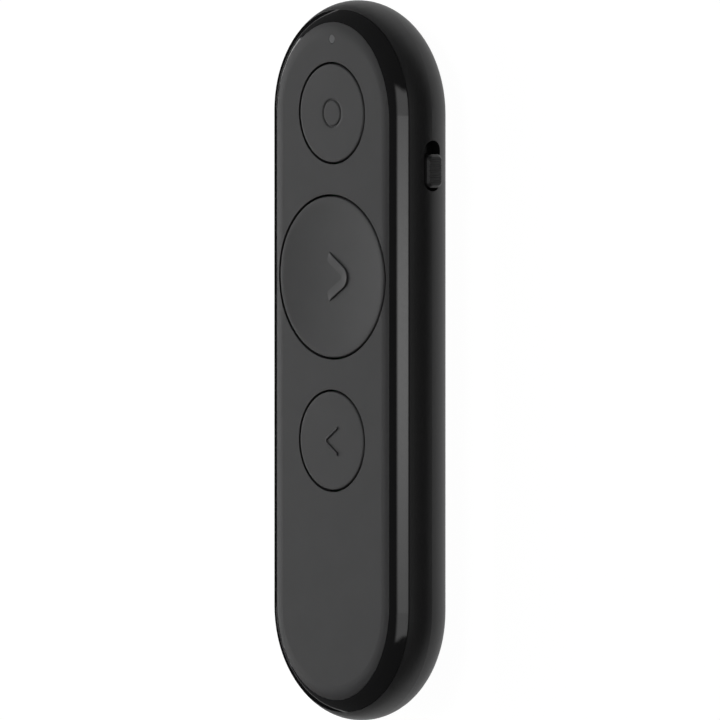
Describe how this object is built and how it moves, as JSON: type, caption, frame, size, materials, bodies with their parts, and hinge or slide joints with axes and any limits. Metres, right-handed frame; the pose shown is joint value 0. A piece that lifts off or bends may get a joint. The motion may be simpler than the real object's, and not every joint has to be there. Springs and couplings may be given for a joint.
{
  "type": "wireless presentation clicker",
  "caption": "Slim pill-shaped wireless presentation clicker with round buttons, a dished thumb button and a side power slider.",
  "frame": {"origin": "middle of the flat back, where the clicker rests when it lies face up", "axes": "+X towards the power slider, +Y towards the laser end, +Z out of the button face"},
  "size_m": [0.0343, 0.108, 0.0113],
  "materials": {
    "shell_black": "fine-textured moulded black plastic",
    "bezel_black": "polished black plastic",
    "plate_grey": "soft matte dark grey coating",
    "button_grey": "soft matte dark grey coating",
    "knob_black": "moulded black plastic",
    "light_clear": "translucent diffusing plastic",
    "led_white": "matte",
    "board_green": "solder mask over glass laminate",
    "chip_black": "moulded epoxy",
    "part_tan": "satin",
    "steel": "plain",
    "switch_black": "moulded plastic",
    "cell_steel": "bright nickel plate",
    "contact_spring": "nickel-plated spring steel",
    "brass": "machined",
    "lens": "clear",
    "window": "dark red tinted",
    "receiver_black": "moulded black plastic",
    "gold": "gold plated",
    "tongue_white": "moulded plastic",
    "screw_black": "black zinc"
  },
  "bodies": {
    "housing": {"back_shell": "shell_black", "back_switch_base": "steel", "battery_cell": "cell_steel", "battery_contact_negative": "contact_spring", "battery_contact_positive": "contact_spring", "board_passives": "part_tan", "circuit_board": "board_green", "crystal": "steel", "face_plate": "plate_grey", "front_bezel": "bezel_black", "housing_screws": "screw_black", "laser_barrel": "brass", "laser_diode": "steel", "laser_lens": "lens", "laser_window": "window", "next_switch_base": "steel", "pointer_switch_base": "steel", "power_switch_base": "steel", "radio_chip": "chip_black", "status_led": "led_white", "status_light_pipe": "light_clear"},
    "pointer_key": {"pointer_button": "button_grey", "pointer_switch_plunger": "switch_black"},
    "next_key": {"next_button": "button_grey", "next_switch_plunger": "switch_black"},
    "back_key": {"back_button": "button_grey", "back_switch_plunger": "switch_black"},
    "slider": {"power_slider": "knob_black", "power_switch_lever": "switch_black"},
    "door": {"battery_door": "shell_black"},
    "receiver": {"receiver_head": "receiver_black", "receiver_plug": "steel", "receiver_tongue": "tongue_white", "receiver_contacts": "gold"}
  },
  "joints": [
    {"name": "pointer_press", "type": "slide", "parent": "housing", "child": "pointer_key", "axis": [0, 0, -1], "range_m": [0, 0.00035], "stiffness_N_per_m": 1500, "springref_m": -0.0002},
    {"name": "next_press", "type": "slide", "parent": "housing", "child": "next_key", "axis": [0, 0, -1], "range_m": [0, 0.00035], "stiffness_N_per_m": 1500, "springref_m": -0.0002},
    {"name": "back_press", "type": "slide", "parent": "housing", "child": "back_key", "axis": [0, 0, -1], "range_m": [0, 0.00035], "stiffness_N_per_m": 1500, "springref_m": -0.0002},
    {"name": "power_slide", "type": "slide", "parent": "housing", "child": "slider", "axis": [0, 1, 0], "range_m": [0, 0.0015]},
    {"name": "door_twist", "type": "hinge", "parent": "housing", "child": "door", "pos_m": [0, 0.01265, 0.001], "axis": [0, 0, 1], "range_deg": [0, 40]},
    {"name": "receiver_lift", "type": "slide", "parent": "housing", "child": "receiver", "axis": [0, 0, -1], "range_m": [0, 0.015]}
  ]
}
